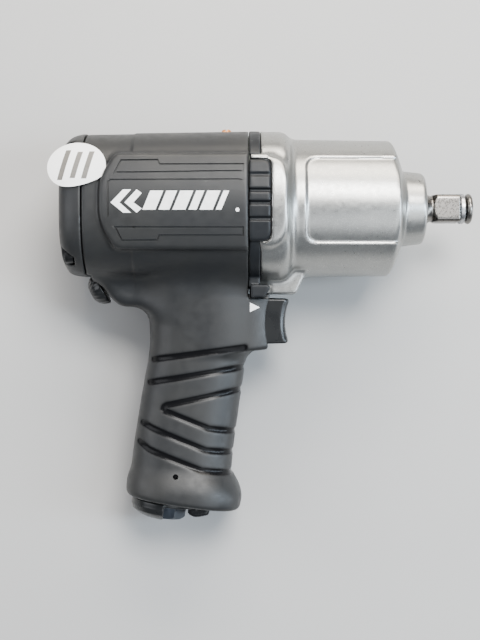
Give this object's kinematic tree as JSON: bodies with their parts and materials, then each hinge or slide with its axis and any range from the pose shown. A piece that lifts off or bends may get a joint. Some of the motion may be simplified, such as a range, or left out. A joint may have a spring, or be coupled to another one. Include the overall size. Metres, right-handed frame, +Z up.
{
  "type": "impact wrench",
  "caption": "Air-powered pistol-grip impact wrench with a silver hammer case, a half-inch square drive, a trigger, a reversing dial and an air inlet in the foot of the grip.",
  "frame": {"origin": "centre of the bounding box, on the surface the tool lies on", "axes": "+X along the drive axis towards the square drive, +Y towards the top of the barrel, +Z up out of the tool's right side; the tool lies on its left side, rolled 6.56 degrees about X so that side panel and grip foot both rest on z = 0"},
  "size_m": [0.1914, 0.1792, 0.0755],
  "materials": {
    "housing_composite": "fine-grained moulded composite, charcoal",
    "bumper_rubber": "satin black rubber",
    "case_silver": "cast aluminium with a satin silver finish",
    "anvil_steel": "polished dark steel",
    "tool_steel": "ground steel",
    "cylinder_iron": "machined cast iron",
    "bronze": "bearing bronze",
    "brass": "turned brass",
    "vane_resin": "cloth-filled resin",
    "seal_rubber": "black nitrile rubber",
    "gasket_paper": "grey-green fibre sheet",
    "black_oxide": "black oxide on steel",
    "zinc_steel": "zinc-plated steel",
    "trigger_plastic": "black moulded plastic, slightly glossy",
    "sticker_white": "white paper with a semi-matt face"
  },
  "bodies": {
    "housing": {"motor_housing": "housing_composite", "rear_cap": "housing_composite", "rear_gasket": "gasket_paper", "front_gasket": "gasket_paper", "cap_screw_1": "black_oxide", "cap_screw_2": "black_oxide", "cap_screw_3": "black_oxide", "cap_screw_4": "black_oxide", "hammer_case": "case_silver", "front_bumper": "bumper_rubber", "anvil_bushing": "bronze", "nose_seal": "seal_rubber", "oil_plug": "brass", "inlet_pin": "black_oxide", "round_sticker": "sticker_white", "motor_rear_plate": "cylinder_iron", "motor_front_plate": "cylinder_iron", "motor_cylinder": "cylinder_iron", "rear_bearing_outer_race": "tool_steel", "front_bearing_outer_race": "tool_steel", "throttle_bushing": "brass", "valve_spring": "tool_steel", "air_inlet": "zinc_steel", "inlet_screen": "brass", "detent_ball": "tool_steel", "detent_spring": "tool_steel"},
    "rotor": {"rotor": "tool_steel", "rotor_vane_1": "vane_resin", "rotor_vane_2": "vane_resin", "rotor_vane_3": "vane_resin", "rotor_vane_4": "vane_resin", "rotor_vane_5": "vane_resin", "rotor_vane_6": "vane_resin", "rear_bearing_inner_race": "tool_steel", "front_bearing_inner_race": "tool_steel", "hammer_cage": "tool_steel", "hammer_pin_a": "tool_steel", "hammer_pin_b": "tool_steel"},
    "hammer_a": {"hammer_a": "tool_steel"},
    "hammer_b": {"hammer_b": "tool_steel"},
    "anvil": {"anvil": "anvil_steel", "thrust_washer": "bronze", "anvil_o_ring": "seal_rubber", "friction_ring": "tool_steel"},
    "rear_balls": {"rear_bearing_balls": "tool_steel"},
    "front_balls": {"front_bearing_balls": "tool_steel"},
    "trigger": {"trigger": "trigger_plastic", "throttle_valve": "brass"},
    "selector": {"selector_dial": "trigger_plastic", "reverse_valve": "brass", "dial_screw": "black_oxide"},
    "deflector": {"exhaust_deflector": "trigger_plastic"}
  },
  "joints": [
    {"name": "rotor_spin", "type": "hinge", "parent": "housing", "child": "rotor", "pos_m": [-0.00735, 0.05362, 0.03775], "axis": [1, 0, 0], "continuous": true},
    {"name": "anvil_spin", "type": "hinge", "parent": "housing", "child": "anvil", "pos_m": [0.06265, 0.05362, 0.03775], "axis": [1, 0, 0], "continuous": true},
    {"name": "rear_balls_spin", "type": "hinge", "parent": "housing", "child": "rear_balls", "pos_m": [-0.0781, 0.05362, 0.03775], "axis": [1, 0, 0], "continuous": true},
    {"name": "front_balls_spin", "type": "hinge", "parent": "housing", "child": "front_balls", "pos_m": [-0.02865, 0.05362, 0.03775], "axis": [1, 0, 0], "continuous": true},
    {"name": "hammer_a_rock", "type": "hinge", "parent": "rotor", "child": "hammer_a", "pos_m": [-0.00085, 0.05128, 0.05812], "axis": [1, 0, 0], "range_deg": [-4, 4]},
    {"name": "hammer_b_rock", "type": "hinge", "parent": "rotor", "child": "hammer_b", "pos_m": [0.02415, 0.05597, 0.01739], "axis": [1, 0, 0], "range_deg": [-4, 4]},
    {"name": "trigger_pull", "type": "slide", "parent": "housing", "child": "trigger", "axis": [-1, 0, 0], "range_m": [0, 0.0065], "stiffness_N_per_m": 600, "springref_m": -0.01, "deforming": ["valve_spring"]},
    {"name": "selector_turn", "type": "hinge", "parent": "housing", "child": "selector", "pos_m": [-0.07425, 0.01776, 0.03363], "axis": [-0.8846, -0.4633, -0.0533], "range_deg": [-45, 90]},
    {"name": "deflector_swivel", "type": "hinge", "parent": "housing", "child": "deflector", "pos_m": [-0.04555, -0.0795, 0.02244], "axis": [-0.1444, -0.983, -0.113], "continuous": true}
  ],
  "couplings": [
    {"joint": "anvil_spin", "follows": "rotor_spin", "ratio": 1},
    {"joint": "rear_balls_spin", "follows": "rotor_spin", "ratio": 0.3812},
    {"joint": "front_balls_spin", "follows": "rotor_spin", "ratio": 0.4085}
  ]
}
